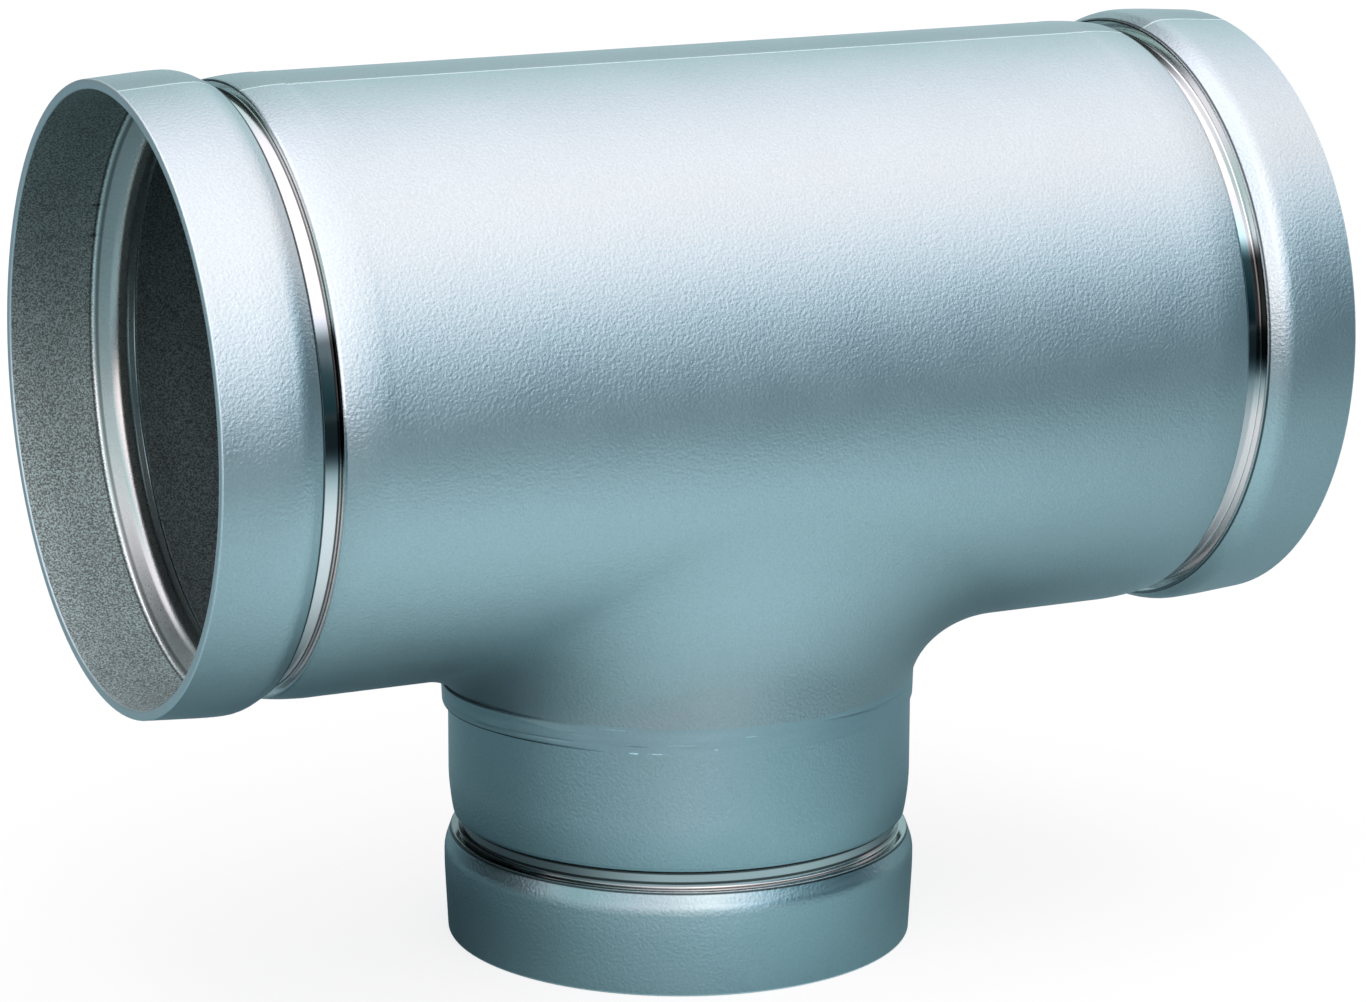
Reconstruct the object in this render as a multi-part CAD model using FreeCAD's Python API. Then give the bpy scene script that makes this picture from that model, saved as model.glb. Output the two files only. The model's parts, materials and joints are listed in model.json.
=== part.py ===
import FreeCAD, Part
import math
import os

# A grooved reducing tee in thin-wall stainless steel, in millimetres.
# The straight run lies along X and the smaller branch points down, so the
# tee stands on its branch end as it does in use on a bench. The origin is
# the centre of the branch's end face.
#
# The body is a length of welded tube whose side is drawn out into a short
# collar. A nipple of smaller tube is butt-welded under the collar, and the
# weld is ground almost flush. All three open ends carry a rolled groove,
# which the keys of a pipe coupling hold. The roller pushes the whole wall
# inwards, so a bead stands inside behind each groove, and the land between
# groove and rim swells a little.

# Tube sizes
run_diameter = 114.3
branch_diameter = 89.1
wall = 1.8

# Distances from the crossing of the two axes to the end faces
centre_to_run_end = 114.2
centre_to_branch_end = 114.1

# The drawn collar and the weld under it
crotch_radius = 10.3
weld_width = 5.0
weld_clear_of_crotch = 0.05

# The rolled groove, measured along the pipe from its end face
run_land_length = 19.3
branch_land_length = 20.3
groove_width = 3.5
run_groove_depth = 2.35
branch_groove_depth = 2.05

# How far the roller swells the land and draws in the tube behind the groove
run_rim_swell = 0.6
run_crown_swell = 1.42
branch_rim_swell = 0.25
branch_crown_swell = 0.9
crown_length = 4.0
shoulder_length = 3.6
groove_lip_drop = 0.35
run_neck_sink = 0.8
branch_neck_sink = 0.9
neck_length = 8.7

# Small radii left by the roller and by deburring
rim_round = 0.35
shoulder_round = 6.0
lip_round = 0.5
groove_round = 0.4
neck_round = 40.0
bead_foot_round = 0.7
bead_round = 1.5

# The inner bead is wider than the groove by the wall on each side
bead_near_foot = 3.3
bead_far_foot = 1.6
bead_crest_inset = 0.3

# Worked out from the sizes above
run_radius = run_diameter / 2
branch_radius = branch_diameter / 2
axis_height = centre_to_branch_end
weld_bottom = axis_height - run_radius - crotch_radius - weld_clear_of_crotch
weld_top = weld_bottom + weld_width


def end_sizes(radius, land, rim_swell, crown_swell, depth, sink):
    """The sizes of one grooved end, gathered under short names."""
    return {
        "radius": radius,
        "land": land,
        "rim": radius + rim_swell,
        "crown": radius + crown_swell,
        "floor": radius - depth,
        "neck": radius - sink,
    }


RUN_END = end_sizes(
    run_radius,
    run_land_length,
    run_rim_swell,
    run_crown_swell,
    run_groove_depth,
    run_neck_sink,
)
BRANCH_END = end_sizes(
    branch_radius,
    branch_land_length,
    branch_rim_swell,
    branch_crown_swell,
    branch_groove_depth,
    branch_neck_sink,
)


def outer_corners(end):
    """Corners of the outside of a grooved end: (distance, radius, rounding).

    The distance runs from the end face into the tee.
    """
    land = end["land"]
    crown_end = land - shoulder_length
    far_side = land + groove_width
    return [
        (0, end["rim"], rim_round),
        (crown_end - crown_length, end["crown"], 0),
        (crown_end, end["crown"], shoulder_round),
        (land, end["radius"] - groove_lip_drop, lip_round),
        (land, end["floor"], groove_round),
        (far_side, end["floor"], groove_round),
        (far_side, end["neck"], lip_round),
        (far_side + neck_length / 2, end["radius"], neck_round),
    ]


def inner_corners(end):
    """Corners of the inside of a grooved end, the wall's thickness within."""
    land = end["land"]
    far_side = land + groove_width
    crown_start = land - shoulder_length - crown_length
    bead_crest = end["floor"] - wall
    return [
        (0, end["rim"] - wall, rim_round),
        (crown_start, end["crown"] - wall, 0),
        (land - bead_near_foot, end["crown"] - wall, bead_foot_round),
        (land + bead_crest_inset, bead_crest, bead_round),
        (far_side - bead_crest_inset, bead_crest, bead_round),
        (far_side + bead_far_foot, end["neck"] - wall, bead_foot_round),
        (far_side + bead_far_foot + neck_length / 2, end["radius"] - wall, neck_round),
    ]


def rounded_edges(points, roundings):
    """Lines through the points, with a tangent arc at each rounded corner."""
    edges = []
    start = points[0]
    for before, corner, after, rounding in zip(points, points[1:], points[2:], roundings[1:]):
        if rounding == 0:
            edges.append(Part.makeLine(start, corner))
            start = corner
            continue
        back = (before - corner).normalize()
        ahead = (after - corner).normalize()
        half_angle = back.getAngle(ahead) / 2
        reach = rounding / math.tan(half_angle)
        middle = (back + ahead).normalize() * (rounding / math.sin(half_angle) - rounding)
        arc_start = corner + back * reach
        arc_end = corner + ahead * reach
        edges.append(Part.makeLine(start, arc_start))
        edges.append(Part.Arc(arc_start, corner + middle, arc_end).toShape())
        start = arc_end
    edges.append(Part.makeLine(start, points[-1]))
    return edges


def run_point(distance, radius, side):
    """A point of the run's profile, at a distance from one of its end faces."""
    return FreeCAD.Vector(side * (centre_to_run_end - distance), 0, axis_height + radius)


def revolve_about_run(corners, overshoot):
    """A solid bar turned about the run's axis, with both ends to one profile.

    An overshoot carries the profile on past the end faces, for a cutter, and
    flares it there, so that the cut leaves a small chamfer inside each rim.
    """
    if overshoot:
        end_radius = corners[0][1]
        flare = end_radius + rim_round + overshoot
        corners = [(-overshoot, flare, 0), (rim_round, end_radius, 0)] + corners[1:]
    left = [(run_point(s, r, -1), rounding) for s, r, rounding in corners]
    right = [(run_point(s, r, 1), rounding) for s, r, rounding in reversed(corners)]
    first = run_point(-overshoot, 0, -1)
    last = run_point(-overshoot, 0, 1)
    path = [(first, 0)] + left + right + [(last, 0)]
    points = [point for point, rounding in path]
    roundings = [0] + [rounding for point, rounding in path[1:-1]]
    edges = rounded_edges(points, roundings)
    edges.append(Part.makeLine(last, first))
    face = Part.Face(Part.Wire(edges))
    return face.revolve(FreeCAD.Vector(0, 0, axis_height), FreeCAD.Vector(1, 0, 0), 360)


def on_both_tubes(edge, run_r, branch_r):
    """True for an edge of the crossing line between run and branch."""
    for share in (0.0, 0.3, 0.7, 1.0):
        first, last = edge.ParameterRange
        point = edge.valueAt(first + share * (last - first))
        from_branch = math.hypot(point.x, point.y)
        from_run = math.hypot(point.y, point.z - axis_height)
        if abs(from_branch - branch_r) > 0.01 or abs(from_run - run_r) > 0.01:
            return False
    return True


def run_with_collar(run_solid, run_r, branch_r, bottom, blend):
    """The run's bar joined to a bar for the branch, blended at the crotch."""
    height = axis_height - bottom
    bar = Part.makeCylinder(branch_r, height, FreeCAD.Vector(0, 0, bottom))
    joined = run_solid.fuse(bar).removeSplitter()
    crossing = [edge for edge in joined.Edges if on_both_tubes(edge, run_r, branch_r)]
    return joined.makeFillet(blend, crossing)


def slab(low, high):
    """A block that covers the whole tee between two heights."""
    reach = 2 * (centre_to_run_end + run_diameter)
    corner = FreeCAD.Vector(-reach / 2, -reach / 2, low)
    return Part.makeBox(reach, reach, high - low, corner)


def drawn_shell():
    """The run with its drawn collar, hollow, down to the weld's lower edge."""
    bar = revolve_about_run(outer_corners(RUN_END), 0)
    bore = revolve_about_run(inner_corners(RUN_END), wall)
    outside = run_with_collar(bar, run_radius, branch_radius, weld_bottom - weld_width, crotch_radius)
    inside = run_with_collar(
        bore,
        run_radius - wall,
        branch_radius - wall,
        weld_bottom - 2 * weld_width,
        crotch_radius + wall,
    )
    return outside.cut(inside)


def tee_body(shell):
    """The drawn tube above the weld."""
    top = axis_height + run_diameter
    return shell.common(slab(weld_top, top))


def branch_weld(shell):
    """The ground weld ring, which carries the collar's form down to the nipple."""
    return shell.common(slab(weld_bottom, weld_top))


def branch_nipple():
    """The short grooved tube below the weld, turned about Z."""
    outside = [(FreeCAD.Vector(r, 0, s), rounding) for s, r, rounding in outer_corners(BRANCH_END)]
    inside = [(FreeCAD.Vector(r, 0, s), rounding) for s, r, rounding in inner_corners(BRANCH_END)]
    outer_top = FreeCAD.Vector(branch_radius, 0, weld_bottom)
    inner_top = FreeCAD.Vector(branch_radius - wall, 0, weld_bottom)
    foot = FreeCAD.Vector(BRANCH_END["rim"] - wall / 2, 0, 0)
    path = [(foot, 0)] + outside + [(outer_top, 0), (inner_top, 0)] + list(reversed(inside)) + [(foot, 0)]
    points = [point for point, rounding in path]
    roundings = [rounding for point, rounding in path]
    face = Part.Face(Part.Wire(rounded_edges(points, roundings)))
    return face.revolve(FreeCAD.Vector(0, 0, 0), FreeCAD.Vector(0, 0, 1), 360)


def main():
    os.makedirs("parts", exist_ok=True)
    shell = drawn_shell()
    pieces = {
        "tee_body": tee_body(shell),
        "branch_weld": branch_weld(shell),
        "branch_nipple": branch_nipple(),
    }
    for name, shape in pieces.items():
        solid = shape.Solids[0]
        box = solid.optimalBoundingBox()
        print(name, len(shape.Solids), "solid, valid", solid.isValid(), "volume", round(solid.Volume, 1))
        print("  x", round(box.XMin, 2), round(box.XMax, 2), "z", round(box.ZMin, 2), round(box.ZMax, 2))
        solid.exportStep("parts/" + name + ".step")


main()
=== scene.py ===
# %% [markdown]
# This lesson dresses one pipe fitting: a grooved reducing tee in thin stainless steel tube. The straight run
# lies along X and the smaller branch points down, so the tee stands on the branch's open end.
# The solids of the fitting come in first, as a frame that gives every size and place. New meshes are then
# modelled over them, because the solids arrive as flat triangles and a satin metal shows each flat.

# %% The frame
import json
import math

import bmesh
import bpy
import numpy as np
from mathutils import Matrix, Vector


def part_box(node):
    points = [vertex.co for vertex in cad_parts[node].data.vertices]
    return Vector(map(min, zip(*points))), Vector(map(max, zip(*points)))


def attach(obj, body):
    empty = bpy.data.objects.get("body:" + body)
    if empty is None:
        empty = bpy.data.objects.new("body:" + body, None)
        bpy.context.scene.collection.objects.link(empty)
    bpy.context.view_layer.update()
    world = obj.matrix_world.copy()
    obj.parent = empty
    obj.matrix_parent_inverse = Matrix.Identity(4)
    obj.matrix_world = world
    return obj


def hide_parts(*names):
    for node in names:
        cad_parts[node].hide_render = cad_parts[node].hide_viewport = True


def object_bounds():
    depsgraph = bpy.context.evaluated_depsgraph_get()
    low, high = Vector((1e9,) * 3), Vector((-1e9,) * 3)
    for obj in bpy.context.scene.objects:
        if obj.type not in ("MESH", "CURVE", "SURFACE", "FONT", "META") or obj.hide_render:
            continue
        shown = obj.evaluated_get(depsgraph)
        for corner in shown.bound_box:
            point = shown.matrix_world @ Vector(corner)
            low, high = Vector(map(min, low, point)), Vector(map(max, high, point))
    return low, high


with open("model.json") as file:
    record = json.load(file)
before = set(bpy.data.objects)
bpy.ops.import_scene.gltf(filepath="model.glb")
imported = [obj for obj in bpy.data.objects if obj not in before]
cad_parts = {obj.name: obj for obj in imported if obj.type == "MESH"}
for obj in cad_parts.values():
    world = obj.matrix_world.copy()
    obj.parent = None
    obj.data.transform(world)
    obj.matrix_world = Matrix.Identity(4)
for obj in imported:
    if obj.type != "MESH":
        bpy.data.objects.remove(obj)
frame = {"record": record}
solid_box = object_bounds()
for corner in solid_box:
    print("The solids reach to", [round(c, 4) for c in corner])

# %% [markdown]
# The camera stands to the left of the tee and a little above it, far away behind a long lens. Its place was
# worked out from the ellipses of the open ends, so the picture's own lines can be laid over the model.
# A camera looks along its own minus Z. A direction is turned into a rotation with to_track_quat, and a small
# turn about the line of sight is put behind it.

# %% The camera
CAMERA_PLACE = Vector((-0.38793, -0.79513, 0.29481))
CAMERA_TARGET = Vector((0.0007, 0.0, 0.0841))
CAMERA_ROLL = math.radians(0.22)
PICTURE_WIDTH = 1366
LENS_IN_PIXELS = 4758
SENSOR_WIDTH = 36.0

camera_data = bpy.data.cameras.new("camera")
camera_data.sensor_width = SENSOR_WIDTH
camera_data.lens = LENS_IN_PIXELS / PICTURE_WIDTH * SENSOR_WIDTH
camera = bpy.data.objects.new("camera", camera_data)
bpy.context.scene.collection.objects.link(camera)
line_of_sight = CAMERA_TARGET - CAMERA_PLACE
camera.rotation_mode = "QUATERNION"
camera.rotation_quaternion = (
    line_of_sight.to_track_quat("-Z", "Y") @ Matrix.Rotation(CAMERA_ROLL, 3, "Z").to_quaternion()
)
camera.location = CAMERA_PLACE
bpy.context.scene.camera = camera
print("Lens", round(camera_data.lens, 1), "mm, distance", round(line_of_sight.length, 3), "m")

# %% [markdown]
# The heights and lengths are read from the frame. The tube sizes repeat what the solids were made with, in
# metres. The wall is one thickness all over, because a roller and a drawing tool move a sheet and take
# nothing away.

# %% Sizes
MM = 0.001
RUN_RADIUS = 57.15 * MM
BRANCH_RADIUS = 44.55 * MM
WALL = 1.8 * MM

body_low, body_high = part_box("tee_body")
weld_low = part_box("branch_weld")[0]
mounts = {mount["name"]: mount for mount in frame["record"]["mounts"]}
RUN_END = body_high[0]
WELD_TOP = body_low[2]
WELD_BOTTOM = weld_low[2]
AXIS_HEIGHT = mounts["left_groove"]["pos_m"][2]
print("Run end at", round(RUN_END / MM, 2), "mm, axis at", round(AXIS_HEIGHT / MM, 2), "mm")
print("Weld from", round(WELD_BOTTOM / MM, 2), "to", round(WELD_TOP / MM, 2), "mm")

# %% [markdown]
# An operator works on everything that is selected, and the frame leaves its own meshes selected. So each
# piece starts with nothing selected, and vertices are then picked in code by where they are.
# These few helpers are all that the modelling needs.

# %% Helpers for modelling
SAME_PLACE = 0.01 * MM


def start_fresh():
    """Leaves edit mode and selects nothing."""
    if bpy.context.object and bpy.context.object.mode == "EDIT":
        bpy.ops.object.mode_set(mode="OBJECT")
    bpy.ops.object.select_all(action="DESELECT")


def select_only(obj):
    """Makes one object the selected and active one."""
    start_fresh()
    obj.select_set(True)
    bpy.context.view_layer.objects.active = obj


def pick_vertices(test):
    """In edit mode, selects only the vertices whose place passes the test."""
    bpy.ops.mesh.select_mode(type="VERT")
    bpy.ops.mesh.select_all(action="DESELECT")
    mesh = bmesh.from_edit_mesh(bpy.context.object.data)
    for vertex in mesh.verts:
        if test(vertex.co):
            vertex.select = True
    mesh.select_flush(True)
    bmesh.update_edit_mesh(bpy.context.object.data)


def place_in_mesh(obj):
    """Moves the object's own place into its mesh, so that the object sits at the origin."""
    select_only(obj)
    bpy.ops.object.transform_apply(location=True, rotation=True, scale=True)


def count_faces(obj):
    """Says how large a mesh is and how many edges are left open."""
    mesh = bmesh.new()
    mesh.from_mesh(obj.data)
    open_edges = sum(1 for edge in mesh.edges if not edge.is_manifold)
    triangles = sum(len(face.verts) - 2 for face in mesh.faces)
    volume = mesh.calc_volume(signed=True)
    mesh.free()
    print(obj.name, triangles, "triangles,", open_edges, "open edges,", round(volume * 1e9), "cubic mm")


# %% [markdown]
# Each open end is roll-grooved: a roller presses the turning tube inwards. The land between groove and rim
# swells a little, the groove drops in with tight corners, and the tube behind it is drawn in and comes back
# to size over about 9 mm. Inside, the same wall stands up as a rounded bead.
# Such a section is drawn as a chain of edges from corner to corner, with every corner rounded by a vertex
# bevel. It could also be cut from a thick tube with booleans, but that leaves long thin faces that shade
# badly.
# A corner is written as (distance from the end face, radius, rounding).

# %% The rolled end's section
ROUND_STEPS = 6
LONGEST_EDGE = 1.3 * MM


def end_sizes(radius, land, rim_swell, crown_swell, groove_depth, neck_sink):
    """The sizes of one grooved end in metres, from millimetres."""
    return {
        "radius": radius,
        "land": land * MM,
        "rim": radius + rim_swell * MM,
        "crown": radius + crown_swell * MM,
        "floor": radius - groove_depth * MM,
        "neck": radius - neck_sink * MM,
    }


RUN_SIZES = end_sizes(RUN_RADIUS, 19.3, 0.6, 1.42, 2.35, 0.8)
BRANCH_SIZES = end_sizes(BRANCH_RADIUS, 20.3, 0.25, 0.9, 2.05, 0.9)
CROWN_LENGTH = 4.0 * MM
SHOULDER = 3.6 * MM
GROOVE_WIDTH = 3.5 * MM
NECK_LENGTH = 8.7 * MM
RIM_ROUND = 0.35 * MM
LIP_DROP = 0.35 * MM
CROWN_ROUND = 60 * MM
SHOULDER_ROUND = 6 * MM
LIP_ROUND = 0.5 * MM
CORNER_ROUND = 0.4 * MM
NECK_ROUND = 40 * MM
BEAD_NEAR_FOOT = 2.5 * MM
BEAD_FAR_FOOT = 1.6 * MM
BEAD_FOOT_ROUND = 0.7 * MM
CREST_NEAR = (0.5 * MM, 2.2 * MM)
CREST_FAR = (0.3 * MM, 1.5 * MM)


def outer_corners(end):
    """The outside of a rolled end, from the rim inwards along the tube."""
    land = end["land"]
    crown_end = land - SHOULDER
    far_side = land + GROOVE_WIDTH
    return [
        (0, end["rim"], RIM_ROUND),
        (crown_end - CROWN_LENGTH, end["crown"], CROWN_ROUND),
        (crown_end, end["crown"], SHOULDER_ROUND),
        (land, end["radius"] - LIP_DROP, LIP_ROUND),
        (land, end["floor"], CORNER_ROUND),
        (far_side, end["floor"], CORNER_ROUND),
        (far_side, end["neck"], LIP_ROUND),
        (far_side + NECK_LENGTH / 2, end["radius"], NECK_ROUND),
    ]


def inner_corners(end):
    """The inside of a rolled end, with the bead that the roller leaves."""
    land = end["land"]
    far_side = land + GROOVE_WIDTH
    crest = end["floor"] - WALL
    crown_start = land - SHOULDER - CROWN_LENGTH
    return [
        (0, end["rim"] - WALL, RIM_ROUND),
        (crown_start, end["crown"] - WALL, CROWN_ROUND),
        (land - BEAD_NEAR_FOOT, end["crown"] - WALL, BEAD_FOOT_ROUND),
        (land + CREST_NEAR[0], crest, CREST_NEAR[1]),
        (far_side - CREST_FAR[0], crest, CREST_FAR[1]),
        (far_side + BEAD_FAR_FOOT, end["neck"] - WALL, BEAD_FOOT_ROUND),
        (far_side + BEAD_FAR_FOOT + NECK_LENGTH / 2, end["radius"] - WALL, NECK_ROUND),
    ]


def draw_section(name, path, roundings):
    """A chain of edges through the points, each corner rounded by a vertex bevel."""
    start_fresh()
    bpy.ops.mesh.primitive_plane_add(size=MM, location=path[0])
    section = bpy.context.object
    section.name = name
    place_in_mesh(section)
    bpy.ops.object.mode_set(mode="EDIT")
    bpy.ops.mesh.select_mode(type="VERT")
    bpy.ops.mesh.select_all(action="SELECT")
    bpy.ops.mesh.merge(type="CENTER")
    for here, there in zip(path, path[1:]):
        bpy.ops.mesh.extrude_vertices_move(TRANSFORM_OT_translate={"value": there - here})
    for before, corner, after, rounding in zip(path, path[1:], path[2:], roundings[1:]):
        half_angle = (before - corner).angle(after - corner) / 2
        reach = rounding / math.tan(half_angle)
        pick_vertices(lambda place: (place - corner).length < SAME_PLACE)
        bpy.ops.mesh.bevel(
            affect="VERTICES", offset=reach, segments=ROUND_STEPS, profile=0.5, clamp_overlap=False
        )
    cut_long_edges(section)
    return section


def cut_long_edges(section):
    """Cuts each long straight edge into short equal ones, so that its shading stays even."""
    mesh = bmesh.from_edit_mesh(section.data)
    lengths = sorted({math.ceil(edge.calc_length() / LONGEST_EDGE) for edge in mesh.edges}, reverse=True)
    bpy.ops.mesh.select_mode(type="EDGE")
    for parts in [parts for parts in lengths if parts > 1]:
        bpy.ops.mesh.select_all(action="DESELECT")
        mesh = bmesh.from_edit_mesh(section.data)
        for edge in mesh.edges:
            edge.select_set(math.ceil(edge.calc_length() / LONGEST_EDGE) == parts)
        bmesh.update_edit_mesh(section.data)
        bpy.ops.mesh.subdivide(number_cuts=parts - 1)


def section_path(corners_out, corners_in, far, end, point):
    """The closed way round a wall's section: in along the outside and back along the inside."""
    stations = [(far, end["radius"], 0)] + list(reversed(corners_out))
    stations += corners_in + [(far, end["radius"] - WALL, 0)]
    path = [point(distance, radius) for distance, radius, rounding in stations]
    return path, [rounding for distance, radius, rounding in stations]


# %% [markdown]
# The section is turned about the run's axis with the spin operator, 128 steps round, and its first and last
# copies merge. The ends of the run are two such pieces. They reach in to where the tube is plain again, and
# stay open there, because the drawn middle joins on.

# %% The two grooved ends of the run
STEPS_ROUND = 128
PLAIN_FROM = 31.5 * MM
MIDDLE_REACH = RUN_END - PLAIN_FROM


def spin_section(section, centre, axis):
    """Turns the drawn section once round the axis."""
    bpy.ops.mesh.select_all(action="SELECT")
    bpy.ops.mesh.spin(
        steps=STEPS_ROUND, angle=2 * math.pi, center=centre, axis=axis, use_auto_merge=True
    )
    bpy.ops.object.mode_set(mode="OBJECT")
    return section


def run_end(side):
    """One grooved end of the run: side is -1 on the left and 1 on the right."""

    def point(distance, radius):
        return Vector((side * (RUN_END - distance), 0, AXIS_HEIGHT - radius))

    path, roundings = section_path(
        outer_corners(RUN_SIZES), inner_corners(RUN_SIZES), PLAIN_FROM, RUN_SIZES, point
    )
    section = draw_section("run_end", path, roundings)
    return spin_section(section, (0, 0, AXIS_HEIGHT), (1, 0, 0))


left_end = run_end(-1)
right_end = run_end(1)
count_faces(left_end)

# %% [markdown]
# A wall has three finishes: blasted outside, rolled inside and cut at the rim. Each face is told which by its
# place. A face of a turned end lies inside when it is below the middle of the wall, and on the rim when it is
# within the rim's rounding.

# %% Three finishes for each wall
OUTSIDE, INSIDE, RIM = 0, 1, 2
FINISHES = [bpy.data.materials.new(name) for name in ("outside", "inside", "cut_rim")]
RIM_DEPTH = 0.33 * MM


def mark_faces(obj, finish_of):
    """Gives each face of a piece one of the three finishes, by its middle and its vertices."""
    for material in FINISHES:
        obj.data.materials.append(material)
    for face in obj.data.polygons:
        face.material_index = finish_of(face)


def finish_on_end(end, distance_and_radius):
    """A test for the faces of one grooved end."""
    corners = inner_corners(end)
    stations = [distance for distance, radius, rounding in corners]
    radii = [radius + WALL / 2 for distance, radius, rounding in corners]

    def finish_of(face):
        distance, radius = distance_and_radius(face.center)
        if distance < RIM_DEPTH:
            return RIM
        return INSIDE if radius < np.interp(distance, stations, radii) else OUTSIDE

    return finish_of


def on_run(place):
    """Distance from the run's nearer end face, and distance from its axis."""
    return RUN_END - abs(place.x), math.hypot(place.y, place.z - AXIS_HEIGHT)


def on_nipple(place):
    """Distance from the branch's end face, and distance from its axis."""
    return place.z, math.hypot(place.x, place.y)


for end in (left_end, right_end):
    mark_faces(end, finish_on_end(RUN_SIZES, on_run))
print("Finishes marked on", len(left_end.data.polygons), "faces of each end")

# %% [markdown]
# The middle of the run is drawn out at its side into a collar for the branch. The skin leaves the branch
# straight up, turns through the crotch and runs out over the run's tube: tighter on the branch's side and
# longer on the run's, as a drawing tool leaves it.
# A fan of columns starts from a circle at the weld. Each row is extruded as by hand, which gives a plain
# tube. No operator can draw such a tube out over the crossing of two cylinders, so each vertex is then put in
# its place by a formula: a Bezier curve in the crotch and straight lines on the run's unrolled sheet beyond.
# One third of the columns ends on each end of the run, and the rest meet in a seam along its top.

# %% The crossing of the two tubes
COLUMNS = 3 * STEPS_ROUND
RUN_REACH = 17.0 * MM
SIDE_DROP = 10.3 * MM
FRONT_DROP = 19.5 * MM
BEZIER_HANDLE = 0.5523
CURVE_SAMPLES = 160


def on_sheet(x, way_round, run_radius):
    """A place on the run's skin, from its unrolled sheet: along the run, and round it from the bottom."""
    turn = way_round / run_radius
    return np.stack([x, run_radius * np.sin(turn), AXIS_HEIGHT - run_radius * np.cos(turn)], axis=-1)


def crossing(angles, run_radius, branch_radius):
    """Where the tubes cross, on the unrolled sheet, with the direction that leads away from the branch."""
    x = branch_radius * np.cos(angles)
    sine = branch_radius * np.sin(angles) / run_radius
    way_round = run_radius * np.arcsin(sine)
    away = np.stack([x / np.sqrt(1 - sine**2), branch_radius * np.sin(angles)], axis=-1)
    away /= np.linalg.norm(away, axis=-1, keepdims=True)
    bend = np.arccos(branch_radius * np.sin(angles) ** 2 / run_radius)
    return x, way_round, away, bend


def crotch_curves(angles, run_radius, branch_radius, depth_in_wall):
    """Points along the skin from below the weld to the run's plain sheet, one curve for each angle."""
    x, way_round, away, bend = crossing(angles, run_radius, branch_radius)
    wall_allowance = depth_in_wall * np.tan(bend / 2)
    down = SIDE_DROP + (FRONT_DROP - SIDE_DROP) * np.sin(angles) ** 2 + wall_allowance
    out = RUN_REACH + wall_allowance
    corner = on_sheet(x, way_round, run_radius)
    foot = corner - down[:, None] * np.array([0, 0, 1])
    toe_x = x + out * away[:, 0]
    toe_round = way_round + out * away[:, 1]
    toe = on_sheet(toe_x, toe_round, run_radius)
    turn = toe_round / run_radius
    back = -np.stack([away[:, 0], away[:, 1] * np.cos(turn), away[:, 1] * np.sin(turn)], axis=-1)
    handle_foot = foot + BEZIER_HANDLE * down[:, None] * np.array([0, 0, 1])
    handle_toe = toe + BEZIER_HANDLE * out[:, None] * back
    t = np.linspace(0, 1, CURVE_SAMPLES)[None, :, None]
    curve = (
        (1 - t) ** 3 * foot[:, None]
        + 3 * (1 - t) ** 2 * t * handle_foot[:, None]
        + 3 * (1 - t) * t**2 * handle_toe[:, None]
        + t**3 * toe[:, None]
    )
    below = foot.copy()
    below[:, 2] = np.minimum(WELD_BOTTOM, foot[:, 2]) - WALL
    return np.concatenate([below[:, None], curve], axis=1), toe_x, toe_round


def curve_from_height(curves, height, rows):
    """Each curve cut off at a height and divided into equal steps."""
    result = np.empty((len(curves), rows + 1, 3))
    for column, curve in enumerate(curves):
        first = np.argmax(curve[:, 2] > height)
        share = (height - curve[first - 1, 2]) / (curve[first, 2] - curve[first - 1, 2])
        start = curve[first - 1] + share * (curve[first] - curve[first - 1])
        rest = np.vstack([start, curve[first:]])
        way = np.concatenate([[0], np.cumsum(np.linalg.norm(np.diff(rest, axis=0), axis=1))])
        steps = np.linspace(0, way[-1], rows + 1)
        result[column] = np.stack([np.interp(steps, way, rest[:, axis]) for axis in range(3)], axis=-1)
    return result


print("The crotch reaches", round(RUN_REACH / MM, 1), "mm out along the run's sheet")

# %% The drawn middle
CROTCH_ROWS = 30
SHEET_ROWS = 24
SEAM_START = math.radians(60)
SHEET_SPREAD = 1.25


def sheet_edge(angles, run_radius):
    """Where each column ends on the unrolled sheet: on an end of the middle, or on the seam at the top."""
    folded = np.abs((angles + math.pi) % (2 * math.pi) - math.pi)
    half_round = math.pi * run_radius
    x = MIDDLE_REACH * np.interp(folded, [0, SEAM_START, math.pi - SEAM_START, math.pi], [1, 1, -1, -1])
    way_round = half_round * np.interp(folded, [0, SEAM_START, math.pi - SEAM_START, math.pi], [0, 1, 1, 0])
    return x, way_round * np.where(np.sin(angles) < 0, -1, 1)


def tube_of_rows(name, radius, rows):
    """A plain tube of extruded rows, with the column and row of each of its vertices."""
    start_fresh()
    bpy.ops.mesh.primitive_circle_add(vertices=COLUMNS, radius=radius, location=(0, 0, 0))
    tube = bpy.context.object
    tube.name = name
    bpy.ops.object.mode_set(mode="EDIT")
    bpy.ops.mesh.select_all(action="SELECT")
    for row in range(rows):
        bpy.ops.mesh.extrude_region_move(TRANSFORM_OT_translate={"value": (0, 0, MM)})
    bpy.ops.object.mode_set(mode="OBJECT")
    flat = np.empty(len(tube.data.vertices) * 3)
    tube.data.vertices.foreach_get("co", flat)
    x, y, z = flat.reshape(-1, 3).T
    column = np.round(np.arctan2(y, x) / (2 * math.pi) * COLUMNS).astype(int) % COLUMNS
    return tube, column, np.round(z / MM).astype(int)


def put_rows(tube, column, row, places):
    """Moves each vertex of a tube of rows to its place."""
    tube.data.vertices.foreach_set("co", places[column, row].ravel())
    tube.data.update()


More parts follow.
